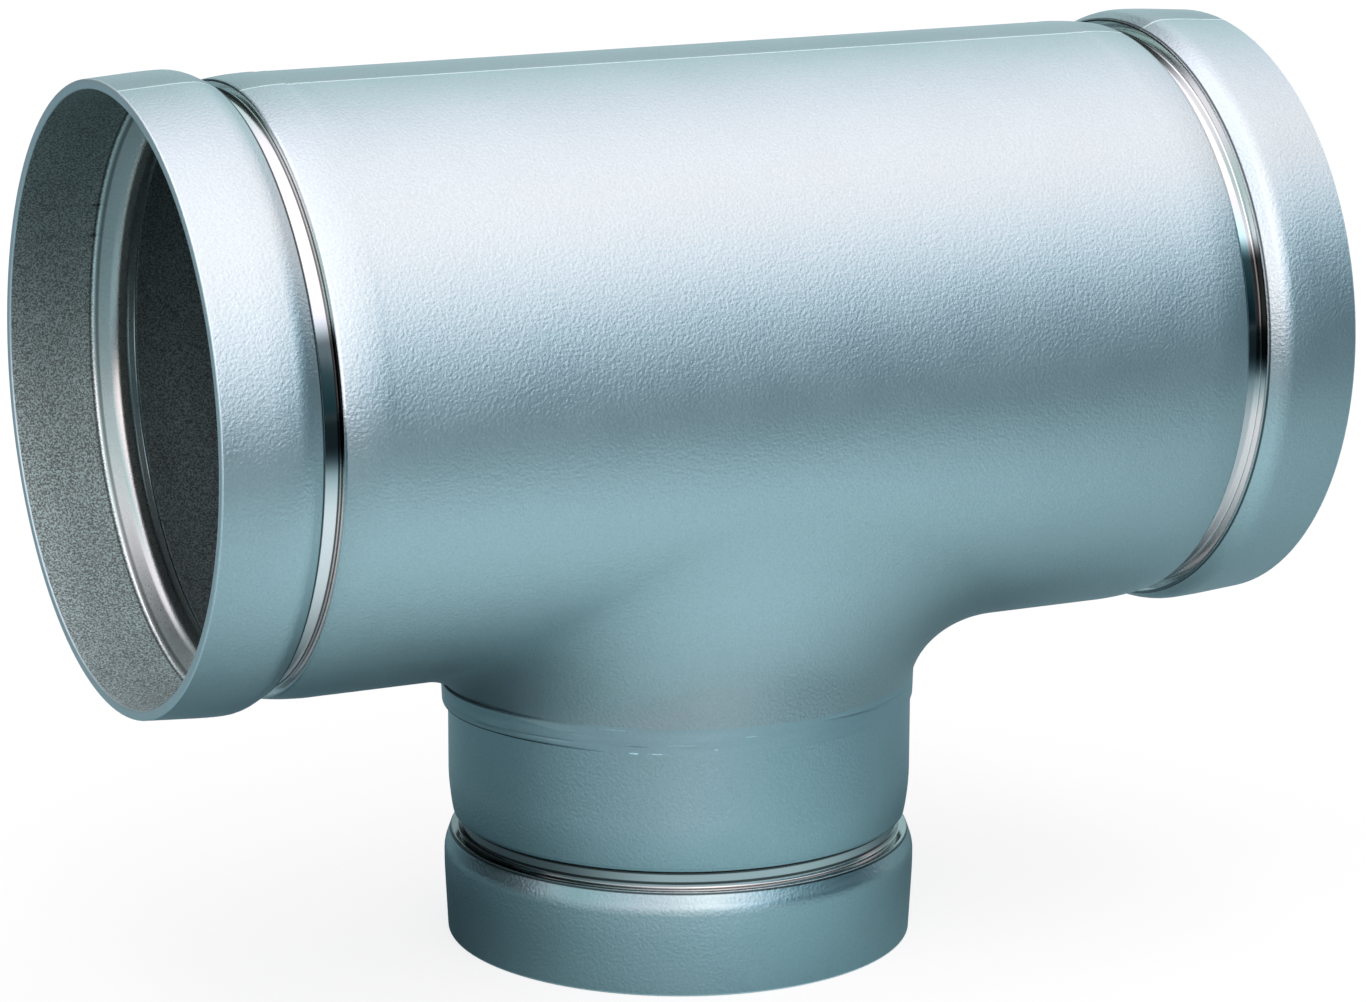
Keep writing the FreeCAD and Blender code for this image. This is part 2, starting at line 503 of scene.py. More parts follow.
def drawn_rows(depth_in_wall):
    """The places of one skin's vertices, for each column from the weld to the plain tube."""
    run_radius = RUN_RADIUS - depth_in_wall
    angles = np.arange(COLUMNS) * 2 * math.pi / COLUMNS
    curves, toe_x, toe_round = crotch_curves(
        angles, run_radius, BRANCH_RADIUS - depth_in_wall, depth_in_wall
    )
    crotch = curve_from_height(curves, WELD_TOP, CROTCH_ROWS)
    edge_x, edge_round = sheet_edge(angles, run_radius)
    share = (np.arange(1, SHEET_ROWS + 1) / SHEET_ROWS) ** SHEET_SPREAD
    sheet = on_sheet(
        toe_x[:, None] + share * (edge_x - toe_x)[:, None],
        toe_round[:, None] + share * (edge_round - toe_round)[:, None],
        run_radius,
    )
    return np.concatenate([crotch, sheet], axis=1)


outer_rows = drawn_rows(0)
inner_rows = drawn_rows(WALL)
outer_foot = outer_rows[:, :1]
inner_foot = inner_rows[:, :1]
middle_places = np.concatenate([inner_rows[:, ::-1], outer_rows], axis=1)
middle, column, row = tube_of_rows("tee_middle", BRANCH_RADIUS, middle_places.shape[1] - 1)
put_rows(middle, column, row, middle_places)
last_inside = inner_rows.shape[1] - 1
mark_faces(middle, lambda face: INSIDE if max(row[v] for v in face.vertices) <= last_inside else OUTSIDE)
count_faces(middle)

# %% [markdown]
# The middle and the two ends are joined into one mesh. Their rims have the same 128 steps, so they merge
# vertex on vertex. The mesh is closed then, and its faces can be turned outwards. A weighted normal modifier
# makes the broad faces lead the shading, so that the tight corners of the groove don't darken the tube
# beside them.


# %% The body in one piece
SHARP_ANGLE = math.radians(50)


def finish_piece(obj):
    """Joins doubled vertices, turns the faces outwards and shades a closed piece."""
    select_only(obj)
    bpy.ops.object.mode_set(mode="EDIT")
    bpy.ops.mesh.select_all(action="SELECT")
    bpy.ops.mesh.remove_doubles(threshold=SAME_PLACE)
    bpy.ops.mesh.normals_make_consistent(inside=False)
    bpy.ops.object.mode_set(mode="OBJECT")
    bpy.ops.object.shade_smooth_by_angle(angle=SHARP_ANGLE)
    modifier = obj.modifiers.new("even shading", "WEIGHTED_NORMAL")
    modifier.keep_sharp = True
    bpy.ops.object.modifier_apply(modifier=modifier.name)
    count_faces(obj)


start_fresh()
for part in (left_end, right_end, middle):
    part.select_set(True)
    print(part.name, [round(c, 4) for c in part.bound_box[0]], [round(c, 4) for c in part.bound_box[6]])
bpy.context.view_layer.objects.active = middle
bpy.ops.object.join()
tee = bpy.context.object
tee.name = "tee_body_skin"
finish_piece(tee)

# %% [markdown]
# The nipple below the weld is a short length of smaller tube with a rolled groove of its own. It is the same
# section with other sizes, turned about the branch's axis.

# %% The nipple


def nipple_point(distance, radius):
    """A point of the nipple's section, standing on the floor."""
    return Vector((radius, 0, distance))


path, roundings = section_path(
    outer_corners(BRANCH_SIZES), inner_corners(BRANCH_SIZES), WELD_BOTTOM, BRANCH_SIZES, nipple_point
)
nipple = draw_section("branch_nipple_skin", path, roundings)
pick_vertices(lambda place: abs(place.z - WELD_BOTTOM) < SAME_PLACE)
bpy.ops.mesh.edge_face_add()
spin_section(nipple, (0, 0, 0), (0, 0, 1))
mark_faces(nipple, finish_on_end(BRANCH_SIZES, on_nipple))
finish_piece(nipple)

# %% [markdown]
# The weld joins collar and nipple. It is ground almost flush and blasted over, but not quite: to the left
# and right of the branch the crotch is already turning out at the weld's height, so the ring stands proud
# there, with a crease above and a small ledge below. Elsewhere it fades into the tube.
# The ring starts as a tube of rows like the middle. Its rows run down the outside, from the collar's outline
# to the nipple's circle, back up the inside, and close on their start.

# %% The weld ring
WELD_ROWS = 40
LEDGE_HEIGHT = 0.35 * MM
DRESSED_TAPER = 0.22
PROUD = 0.42
PROUD_ANGLES = (140, 158, 203, 227)
LINE_DEPTH = 0.12
LINE_ANGLES = (186, 190, 213, 219)
LINE_HEIGHT = 1.4
UNDERCUT_ANGLES = (281, 292, 315, 323)
UNDERCUT_HEIGHT = 4.4
UNDERCUT_FALL = 1.2


def ledge_profile(depth):
    """How far the ring has come in to the nipple at a depth: it keeps out, and steps in at its ledge."""
    ledge = 1 - LEDGE_HEIGHT / (WELD_TOP - WELD_BOTTOM)
    slide = np.clip((depth - ledge) / (1 - ledge), 0, 1)
    above = DRESSED_TAPER * np.minimum(depth, ledge)
    return above + (1 - above) * (1 - np.sqrt(1 - slide**2))


def ring_rows(foot, radius, depth, share):
    """Rows of the ring between the collar's outline and a circle, at depths from 0 to 1."""
    angles = np.arange(COLUMNS) * 2 * math.pi / COLUMNS
    circle = np.stack([radius * np.cos(angles), radius * np.sin(angles)], axis=-1)[:, None]
    level = foot[:, :, :2] + share[None, :, None] * (circle - foot[:, :, :2])
    height = np.broadcast_to(WELD_TOP + depth * (WELD_BOTTOM - WELD_TOP), (COLUMNS, len(depth)))
    return np.concatenate([level, height[:, :, None]], axis=2)


def between(value, low, high):
    """0 below low, 1 above high, and an even way between."""
    return np.clip((value - low) / (high - low), 0, 1)


def stretch(angle, starts, full, fades, ends):
    """1 on a stretch of the ring, with sloping ends."""
    return between(angle, starts, full) * (1 - between(angle, fades, ends))


def thin_line(height, middle, half_width):
    """1 at a height and 0 beyond half a width."""
    return np.clip(1 - np.abs(height - middle) / half_width, 0, 1)


def weld_relief(places):
    """How far the ground weld stands proud of the tube: its left band, a groove line and an undercut."""
    angle = np.degrees(np.arctan2(places[..., 1], places[..., 0])) % 360
    height = (places[..., 2] - WELD_BOTTOM) / MM
    from_top = (WELD_TOP - places[..., 2]) / MM
    rise = between(from_top, 0, 0.3 + 2.7 * between(angle, 200, 224))
    band = stretch(angle, *PROUD_ANGLES) * rise * between(height, 0.0, 0.15)
    line = stretch(angle, *LINE_ANGLES) * thin_line(height, LINE_HEIGHT, 0.25)
    undercut_height = UNDERCUT_HEIGHT - UNDERCUT_FALL * between(angle, 281, 321)
    undercut = stretch(angle, *UNDERCUT_ANGLES) * thin_line(height, undercut_height, 0.3)
    return (PROUD * band - LINE_DEPTH * (line + undercut)) * MM


depth = np.linspace(0, 1, WELD_ROWS + 1)
weld_outside = ring_rows(outer_foot, BRANCH_RADIUS, depth, ledge_profile(depth))
from_axis = np.linalg.norm(weld_outside[..., :2], axis=-1, keepdims=True)
weld_outside[..., :2] *= 1 + weld_relief(weld_outside)[..., None] / from_axis
weld_inside = ring_rows(inner_foot, BRANCH_RADIUS - WALL, depth[::-1], depth[::-1])
weld_places = np.concatenate([weld_outside, weld_inside, weld_outside[:, :1]], axis=1)
weld, column, row = tube_of_rows("branch_weld_skin", BRANCH_RADIUS, weld_places.shape[1] - 1)
put_rows(weld, column, row, weld_places)
mark_faces(weld, lambda face: OUTSIDE if max(row[v] for v in face.vertices) <= WELD_ROWS else INSIDE)
finish_piece(weld)

# %% [markdown]
# Shader maths reads better as Python expressions. A small class wraps a socket, and its operators add Math
# nodes. Every other node comes from one method, which takes the node's type, its settings, and the values
# or links of its sockets.

# %% Shader maths
class Value:
    """A number that a node gives, with operators that add Math nodes."""

    def __init__(self, graph, socket):
        self.graph = graph
        self.socket = socket

    def math(self, operation, *others):
        """A Math node with this value first."""
        sockets = dict(enumerate([self, *others]))
        return self.graph.node("ShaderNodeMath", {"operation": operation}, sockets)

    def __add__(self, other):
        return self.math("ADD", other)

    def __radd__(self, other):
        return self.math("ADD", other)

    def __sub__(self, other):
        return self.math("SUBTRACT", other)

    def __rsub__(self, other):
        return self.graph.node("ShaderNodeMath", {"operation": "SUBTRACT"}, {0: other, 1: self})

    def __mul__(self, other):
        return self.math("MULTIPLY", other)

    def __rmul__(self, other):
        return self.math("MULTIPLY", other)

    def __truediv__(self, other):
        return self.math("DIVIDE", other)


print("A Value can be added, subtracted, multiplied and divided")


# %% Shader nodes
class Graph:
    """The nodes of one material or of the world."""

    def __init__(self, tree):
        self.tree = tree
        self.tree.nodes.clear()

    def node(self, kind, settings=None, sockets=None, output=0):
        """Adds a node, sets it up, fills its sockets and gives the output that is asked for."""
        node = self.tree.nodes.new(kind)
        for name, setting in (settings or {}).items():
            if name == "stops":
                ramp = node.color_ramp
                while len(ramp.elements) < len(setting):
                    ramp.elements.new(1)
                for element, (position, color) in zip(ramp.elements, setting):
                    element.position = position
                    element.color = color
            else:
                setattr(node, name, setting)
        for key, value in (sockets or {}).items():
            socket = node.inputs[key]
            if isinstance(value, Value):
                self.tree.links.new(value.socket, socket)
            else:
                socket.default_value = value
        return Value(self, node.outputs[output]) if node.outputs else None

    def mix_color(self, factor, first, second):
        """A blend of two colours."""
        return self.node("ShaderNodeMix", {"data_type": "RGBA"}, {0: factor, 6: first, 7: second}, 2)

    def ramp(self, value, low, high):
        """0 below low, 1 above high, and a smooth way between."""
        settings = {"interpolation_type": "SMOOTHSTEP"}
        return self.node("ShaderNodeMapRange", settings, {0: value, 1: low, 2: high, 3: 0.0, 4: 1.0})

    def band(self, value, low, high, soft):
        """1 between low and high, with soft sides."""
        fade = self.ramp(value, high - soft, high + soft)
        return self.ramp(value, low - soft, low + soft) * (1 - fade)

    def hump(self, value, middle, half_width):
        """1 at the middle and 0 beyond half a width."""
        return 1 - self.ramp((value - middle).math("ABSOLUTE"), half_width * 0.3, half_width)

    def metal(self, color, roughness, normal):
        """A metal surface on the material's output."""
        sockets = {"Base Color": color, "Metallic": 1.0, "Roughness": roughness, "Normal": normal}
        shader = self.node("ShaderNodeBsdfPrincipled", {}, sockets)
        self.node("ShaderNodeOutputMaterial", {}, {"Surface": shader})

    def bump(self, height, depth):
        """A bump of a given depth."""
        sockets = {"Strength": 1.0, "Distance": depth, "Height": height}
        return self.node("ShaderNodeBump", {}, sockets)

    def object_place(self):
        """The place on the object, in metres."""
        return self.node("ShaderNodeTexCoord", output="Object")

    def seen_by_camera(self):
        """1 for the camera's own rays and 0 for all others."""
        return self.node("ShaderNodeLightPath", output="Is Camera Ray")

    def noise(self, vector, scale, detail=2.0):
        """Noise between about 0 and 1."""
        return self.node("ShaderNodeTexNoise", {}, {"Vector": vector, "Scale": scale, "Detail": detail})


def new_material(name):
    """A material with an empty node tree."""
    material = bpy.data.materials.new(name)
    material.use_nodes = True
    return material, Graph(material.node_tree)


def sum_of(values):
    """The sum of a few node values."""
    values = list(values)
    total = values[0]
    for value in values[1:]:
        total = total + value
    return total


print("Shader helpers are ready")

# %% [markdown]
# A mark on a tube is placed by how far along the tube it lies and how far round it. A pattern that runs
# round the tube is a noise whose vector is stretched by a Mapping node: many times finer along the tube than
# round it.

# %% Measures on the tube
AXES = {"run": 0, "branch": 2}


def coordinate(graph, place, axis):
    """One of a place's three coordinates."""
    return graph.node("ShaderNodeSeparateXYZ", {}, {0: place}, output=axis)


def stretched(graph, place, way, fine, coarse):
    """The place, made finer along the tube, so that a noise on it turns into rings and streaks."""
    scale = [coarse, coarse, coarse]
    scale[AXES[way]] = fine
    return graph.node("ShaderNodeMapping", {}, {"Vector": place, "Scale": scale})


def distance_along(graph, place, way):
    """Distance from the nearer end face, in millimetres."""
    if way == "run":
        return (RUN_END - coordinate(graph, place, 0).math("ABSOLUTE")) / MM
    return coordinate(graph, place, 2) / MM


def angle_round(graph, place, way):
    """Degrees round the tube: from the top towards the front on the run, from +X on the branch."""
    if way == "run":
        forward = coordinate(graph, place, 1) * -1
        return forward.math("ARCTAN2", coordinate(graph, place, 2) - AXIS_HEIGHT) * 180 / math.pi
    angle = coordinate(graph, place, 1).math("ARCTAN2", coordinate(graph, place, 0)) * 180 / math.pi
    return angle.math("WRAP", 360.0, 0.0)


print("Distances on the tube are in millimetres, angles in degrees")

# %% [markdown]
# The outside is bead-blasted: small dimples and a fine grain scatter its reflections. The roller then
# burnishes the groove bright and leaves fine rings in it, and a coupling has rubbed the shoulder beside it in
# broken streaks. On the real metal these are one surface with a changing finish, so one material carries them
# all, and bands along the tube say where each one lies.
# The dimples could be cut into the mesh, but at half a millimetre across they would need millions of faces,
# so they are a bump.

# %% Steel, grain and dimples
RUN_STEEL = (0.50, 0.60, 0.62)
NIPPLE_STEEL = (0.35, 0.475, 0.50)
GROOVE_STEEL = (0.72, 0.76, 0.75, 1.0)
LOWER_GROOVE_REFLECTION_TINT = (1.0, 0.88, 0.86, 1.0)
BLASTED_ROUGHNESS = 0.40
GROOVE_ROUGHNESS = 0.08
RING_ROUGHNESS = 0.10
GRAIN_SCALE = 2600.0
GRAIN_COLOR = 0.30
MOTTLE_SCALE = 70.0
MOTTLE = 0.08
DIMPLE_SCALE = 1700.0
DIMPLE_DEPTH = 0.07 * MM
RING_HEIGHT = 0.02


def shaded(graph, color, share):
    """A colour made lighter or darker by a share."""
    return graph.node("ShaderNodeVectorMath", {"operation": "SCALE"}, {0: color, 3: share})


print("Dimples about", round(1000 / DIMPLE_SCALE, 2), "mm across")

# %% [markdown]
# Some marks belong to one tube only, and most of them are painted light. A fine pale line along the top
# of the run is a painted highlight, with a soft painted shade behind it. The collar has painted shade towards
# the weld, under the run. The run's grooves have a painted dark reflection at mid-height and a warmer painted
# reflection below it. The branch's groove is painted darker, with two dark rings of painted reflection and
# more painted shade on its left and back. One function for each tube gives the line, the shade and the
# groove's own colour, so that the blasted finish can ask either of them.

# %% Marks of one tube
TOP_HIGHLIGHT_ANGLE = 8.3
HIGHLIGHT_HALF_WIDTH = 0.32
LINE_GLINT = 1.1
SHADE_BEHIND_LINE = 0.20
SHADE_LENGTH = (1.0, 14.0)
SHADE_ENDS_AT = (-60.0, -50.0)
COLLAR_SHADE = 0.26
COLLAR_HEIGHTS = (50.0, 78.0)
COLLAR_REACH = (45.0, 75.0)
DARK_REFLECTION_STRETCH = (68.0, 92.0)
WARM_REFLECTION_STRETCH = (98.0, 150.0)
GROOVE_DARK_REFLECTION = 0.85
NEAR_RING_REFLECTION = (0.75, 1.3)
FAR_RING_REFLECTION = (2.55, 2.8)
BRANCH_SHADED_SIDE = (208.0, 240.0)
BRANCH_GROOVE_SHADE = 0.34


def marks_on_run(graph, place, angle, from_land):
    """The painted highlight line on the run's top, painted shade behind it and on the collar, the grooves'
    colour.
    """
    # The line is a painted highlight and the band behind it is painted shade, both along the run's top.
    off = (angle - TOP_HIGHLIGHT_ANGLE) * (math.pi / 180 * RUN_RADIUS / MM)
    dots = graph.ramp(graph.noise(place, 900.0, 1.0), 0.35, 0.5)
    line = graph.hump(off, 0.0, HIGHLIGHT_HALF_WIDTH) * (0.55 + 0.45 * dots)
    behind = graph.ramp(off * -1, 0.05, 0.25) * (1 - graph.ramp(off * -1, *SHADE_LENGTH))
    behind = behind * graph.ramp(angle, *SHADE_ENDS_AT)
    # Painted shade on the collar, darker towards the weld, under the run.
    height = coordinate(graph, place, 2) / MM
    from_middle = coordinate(graph, place, 0).math("ABSOLUTE") / MM
    collar = (1 - graph.ramp(height, *COLLAR_HEIGHTS)) * (1 - graph.ramp(from_middle, *COLLAR_REACH))
    # Painted reflection in the grooves: dark at mid-height, and warmer below it, where the reflection reads
    # white.
    warm_reflection = graph.band(angle, *WARM_REFLECTION_STRETCH, 6.0)
    dark = graph.band(angle, *DARK_REFLECTION_STRETCH, 3.0)
    groove_color = graph.mix_color(warm_reflection, GROOVE_STEEL, LOWER_GROOVE_REFLECTION_TINT)
    groove_color = shaded(graph, groove_color, 1 - dark * GROOVE_DARK_REFLECTION)
    return line, behind * SHADE_BEHIND_LINE + collar * COLLAR_SHADE, groove_color


def marks_on_branch(graph, place, angle, from_land):
    """No line or shade on the branch's skin; its groove has painted dark reflection, two dark rings, more on
    the left.
    """
    # Painted reflection in the branch's groove: two dark rings, and the whole groove darker, most on the left
    # and back.
    rings = graph.band(from_land, *NEAR_RING_REFLECTION, 0.1).math("MAXIMUM", graph.ramp(from_land, *FAR_RING_REFLECTION))
    tone = BRANCH_GROOVE_SHADE * (1 + graph.ramp(angle, *BRANCH_SHADED_SIDE))
    return 0.0, 0.0, shaded(graph, GROOVE_STEEL[:3], tone * (1 - rings * GROOVE_DARK_REFLECTION))


print("The top line lies", TOP_HIGHLIGHT_ANGLE, "degrees to the front")

# %% The blasted outside
CORNER_SHADE = 0.85
LIP_POLISH = 0.7
RUN_RUBBED = 0.10
BRANCH_RUBBED = 0.38


def blasted_outside(name, way, end, steel, rubbed, marks):
    """Blasted tube: burnished groove, rubbed shoulder, polished lip behind the groove, painted shade at its
    edges.
    """
    material, graph = new_material(name)
    place = graph.object_place()
    distance = distance_along(graph, place, way)
    land = end["land"] / MM
    far_side = land + GROOVE_WIDTH / MM
    groove = graph.band(distance, land - 0.12, far_side + 0.1, 0.1)
    streaks = graph.noise(stretched(graph, place, way, 1500.0, 25.0), 1.0, 2.0)
    rub = graph.ramp(graph.noise(stretched(graph, place, way, 900.0, 60.0), 1.0, 3.0), 0.42, 0.62)
    shoulder = graph.band(distance, land - 3.2, land - 0.4, 0.6) * (0.45 + 0.55 * rub)
    lip = graph.band(distance, far_side + 0.15, far_side + 0.6, 0.12)
    bright = groove.math("MAXIMUM", shoulder * rubbed).math("MAXIMUM", lip * LIP_POLISH)
    # Painted shade along both edges of the groove.
    near_corner_shade = graph.hump(distance, land - 0.45, 0.30)
    far_corner_shade = graph.band(distance, far_side - 0.5, far_side - 0.16, 0.08)
    grain = graph.noise(place, GRAIN_SCALE, 2.0)
    mottle = (graph.noise(place, MOTTLE_SCALE, 3.0) - 0.5) * MOTTLE
    line, shade, groove_color = marks(graph, place, angle_round(graph, place, way), distance - land)
    plain = 1 - groove
    tone = 1 + (grain - 0.5) * plain * GRAIN_COLOR + mottle
    # Painted highlight from the line and painted shade from the shade, both kept off the groove.
    tone = tone * (1 - shade * plain) + line * plain * LINE_GLINT
    color = graph.mix_color(groove, shaded(graph, steel, tone), groove_color)
    color = shaded(graph, color, 1 - (near_corner_shade + far_corner_shade) * CORNER_SHADE)
    blasted = BLASTED_ROUGHNESS + mottle
    roughness = blasted + (GROOVE_ROUGHNESS + streaks * RING_ROUGHNESS - blasted) * bright
    dimples = graph.noise(place, DIMPLE_SCALE, 1.0)
    height = dimples * (1 - bright) + streaks * groove * RING_HEIGHT
    graph.metal(color, roughness, graph.bump(height, DIMPLE_DEPTH))
    return material


outside_of_run = blasted_outside(
    "blasted_steel_run", "run", RUN_SIZES, RUN_STEEL, RUN_RUBBED, marks_on_run
)
outside_of_branch = blasted_outside(
    "blasted_steel_branch", "branch", BRANCH_SIZES, NIPPLE_STEEL, BRANCH_RUBBED, marks_on_branch
)
print("Outside:", outside_of_run.name, outside_of_branch.name)

# %% [markdown]
# Inside, the tube keeps the dull skin of the rolled sheet: rougher and speckled. Painted shade makes it
# darker deep behind the bead and towards the top. The run's own longitudinal weld shows at the back as two
# fine edges.
# The bead is polished by the roller's counter wheel. Each foot of the bead is a little smoother and carries a
# painted highlight, and painted dark lines lie on both sides of the near foot.

# %% The inside
SHEET_STEEL = (0.54, 0.65, 0.64, 1.0)
DEEP_SHADE_STEEL = (0.24, 0.29, 0.29, 1.0)
BEAD_STEEL = (0.62, 0.66, 0.64, 1.0)
SHEET_ROUGHNESS = 0.66
BEAD_SMOOTHER = 0.36
SHEET_GRAIN_SCALE = 3000.0
SHEET_GRAIN_DEPTH = 0.014 * MM
SPECKLE = 0.9
SHEET_MOTTLE = 0.30
SHADE_ABOVE = 0.42
SEAM_EDGES = (62.0, 69.0)
SEAM_HALF_WIDTH = 0.45
SEAM_DARK = 0.6


def dull_inside(name, way, end):
    """The dull inner skin with its polished bead."""
    material, graph = new_material(name)
    place = graph.object_place()
    distance = distance_along(graph, place, way)
    near_foot = (end["land"] - BEAD_NEAR_FOOT) / MM
    far_foot = (end["land"] + GROOVE_WIDTH + BEAD_FAR_FOOT) / MM
    bead = graph.band(distance, near_foot, far_foot + 0.3, 0.3)
    # Painted shade: the wall is darker deep in the tube, behind the bead.
    deep_shade = graph.ramp(distance, far_foot, far_foot + 0.8)
    # Painted highlight along each foot of the bead, whose mask also smooths it a little, and painted shade in
    # dark lines on both sides of the near foot.
    rolled = graph.hump(distance, near_foot, 0.3) + graph.hump(distance, far_foot + 0.1, 0.5) * 1.6
    painted_foot_shade = graph.hump(distance, near_foot - 0.55, 0.3) + graph.hump(distance, near_foot + 0.6, 0.35)
    grain = graph.noise(place, SHEET_GRAIN_SCALE, 3.0)
    speckle = (graph.ramp(grain, 0.38, 0.62) - 0.5) * SPECKLE
    mottle = (graph.noise(place, 90.0, 4.0) - 0.5) * SHEET_MOTTLE
    # Painted shade towards the top of the inside.
    above = graph.ramp(coordinate(graph, place, 2), AXIS_HEIGHT - 0.03, AXIS_HEIGHT + 0.04)
    tone = (1 + speckle + mottle) * (1 - SHADE_ABOVE * above)
    wall = shaded(graph, graph.mix_color(deep_shade, SHEET_STEEL, DEEP_SHADE_STEEL), tone)
    edges = 0.0
    if way == "run":
        behind = angle_round(graph, place, way) * -1
        edges = sum_of(graph.hump(behind, edge, SEAM_HALF_WIDTH) for edge in SEAM_EDGES)
        edges = edges * (0.15 + 0.85 * graph.band(distance, near_foot - 1.6, near_foot + 0.6, 0.4))
        wall = shaded(graph, wall, 1 - edges * SEAM_DARK)
    color = shaded(graph, graph.mix_color(bead, wall, BEAD_STEEL), 1 + rolled * 0.5 - painted_foot_shade * 0.55)
    roughness = SHEET_ROUGHNESS + (grain - 0.5) * 0.2 - bead * BEAD_SMOOTHER - rolled * 0.1
    height = grain * (1 - bead) - edges * 2
    graph.metal(color, roughness, graph.bump(height, SHEET_GRAIN_DEPTH))
    return material


inside_of_run = dull_inside("rolled_inside_run", "run", RUN_SIZES)
inside_of_branch = dull_inside("rolled_inside_branch", "branch", BRANCH_SIZES)
print("Inside:", inside_of_run.name, inside_of_branch.name)

# %% [markdown]
# The rim is cut square. It shows as a paler ring between the two darker skins, with an even fine grain.

# %% The cut rim
RIM_STEEL = (0.70, 0.84, 0.86)
RIM_ROUGHNESS = 0.55
RIM_GRAIN = 0.3
RIM_GRAIN_DEPTH = 0.01 * MM


def cut_rim(name):
    """The cut ring at an open end."""
    material, graph = new_material(name)
    grain = graph.noise(graph.object_place(), GRAIN_SCALE, 2.0)
    color = shaded(graph, RIM_STEEL, 1 + (grain - 0.5) * RIM_GRAIN)
    graph.metal(color, RIM_ROUGHNESS, graph.bump(grain, RIM_GRAIN_DEPTH))
    return material


rim = cut_rim("cut_rim_steel")
print("Rim:", rim.name)

# %% [markdown]
# The weld has been ground round the tube and then blasted with the rest. What is left is a finish that is a
# little rougher and streaked, fine grinding lines, and a few white nicks where the disc touched the ledge.
# On the left band, painted shade darkens the crease above, the ledge below and the band itself.
# Each mark is written as (angle, height, half its length in degrees, half its width, how bright it is).

# %% The ground weld
WELD_STEEL = (0.34, 0.465, 0.495)
WELD_ROUGHNESS = 0.42
WELD_GRAIN_SCALE = 0.8 * GRAIN_SCALE
WELD_GRAIN_DEPTH = 0.02 * MM
WELD_LEFT_SIDE = (140.0, 215.0)
WELD_MARKS = [
    (233.6, 48.1, 4.0, 0.16, -0.35),
    (218.1, 49.7, 3.2, 0.12, -0.30),
    (229.0, 51.0, 4.6, 0.14, 0.35),
    (233.4, 46.75, 1.7, 0.20, 1.3),
    (239.1, 46.80, 3.2, 0.14, 1.0),
    (252.9, 47.6, 0.6, 0.15, 0.8),
    (261.4, 49.7, 2.2, 0.10, 0.6),
    (244.5, 48.5, 4.3, 0.09, 0.35),
    (247.0, 48.1, 3.1, 0.08, -0.25),
]


def ground_weld(name):
    """The dressed weld with its marks, and painted shade on its left band."""
    material, graph = new_material(name)
    place = graph.object_place()
    height = coordinate(graph, place, 2) / MM
    angle = angle_round(graph, place, "branch")
    grain = graph.noise(place, WELD_GRAIN_SCALE, 2.0)
    streaks = graph.noise(stretched(graph, place, "branch", 700.0, 60.0), 1.0, 3.0)
    chipped = 0.3 + 0.7 * graph.ramp(graph.noise(place, 1300.0, 2.0), 0.38, 0.55)
    marks = chipped * sum_of(
        graph.hump(angle, at, half_length) * graph.hump(height, up, half_width) * amount
        for at, up, half_length, half_width, amount in WELD_MARKS
    )
    left_side = graph.band(angle, *WELD_LEFT_SIDE, 12.0)
    # Painted shadow under the ledge and painted shade in the crease above, on the left band only.
    ledge_shadow = graph.hump(height, WELD_BOTTOM / MM + 0.15, 0.5) * 0.75
    crease_shade = graph.hump(height, WELD_TOP / MM - 0.1, 0.6) * 0.45
    tone = 1 + (grain - 0.5) * 0.2 + (streaks - 0.5) * (0.25 + left_side * 0.3)
    # The marks, then painted shade on the left band.
    tone = tone + marks - left_side * (ledge_shadow + crease_shade + 0.10)
    bump = graph.bump(grain * 0.6 + streaks, WELD_GRAIN_DEPTH)
    graph.metal(shaded(graph, WELD_STEEL, tone), WELD_ROUGHNESS + (streaks - 0.5) * 0.15, bump)
    return material


weld_outside_finish = ground_weld("ground_weld_steel")
print("Weld:", weld_outside_finish.name, "with", len(WELD_MARKS), "marks")

# %% The finishes on the pieces
for piece, finishes in (
    (tee, (outside_of_run, inside_of_run, rim)),
    (nipple, (outside_of_branch, inside_of_branch, rim)),
    (weld, (weld_outside_finish, inside_of_branch, rim)),
):
    for slot, material in enumerate(finishes):
        piece.data.materials[slot] = material
    print(piece.name, "wears", [material.name for material in finishes])
for material in FINISHES:
    bpy.data.materials.remove(material)

# %% [markdown]
# The pieces ride on the one body, and the solids that they stand for are hidden.

# %% Pieces and their solids
for piece, node, finish in (
    (tee, "tee_body", "blasted_steel"),
    (nipple, "branch_nipple", "blasted_steel"),
    (weld, "branch_weld", "ground_weld"),
):
    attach(piece, "root")
    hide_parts(node)
print("Three pieces ride on root")

# %% [markdown]
# Metal shows the room that it stands in, so the studio is built as reflections. The paper under the tee is
# pale and cool. In front it fades into a dark table, which gives the metal the dark band that makes it look
# like metal and not like paint. The paper is dimmer to the left, to the right and at the back left, and
# almost black close behind the branch, where the tee keeps the light off it.
# The camera sees plain white paper all round, because Light Path tells the camera's rays from the others.

# %% The paper
FLOOR_SIZE = 8.0
PAPER_TINT = (0.50, 0.72, 0.74, 1.0)
TABLE = (0.05, 0.10, 0.12, 1.0)
WHITE = (1.0, 1.0, 1.0, 1.0)
CAMERA_GLOW = 0.8
FRONT_FADE = (-0.46, -0.14)
FRONT_GAIN = 1.06
LEFT_FADE = (-0.15, -0.04)
LEFT_LEVEL = 0.54
RIGHT_FADE = (0.0, 0.22)
RIGHT_LOSS = 0.56
RIGHT_LEAN = 0.25
RIGHT_LEAN_FROM = 0.10
BACK_FADE = (-0.10, 0.04)
CLOSE_FADE = (0.06, 0.20)
CLOSE_LOSS = 0.95
BACK_LEFT_FADE = (-0.08, 0.08)
BACK_LEFT_LOSS = 0.60

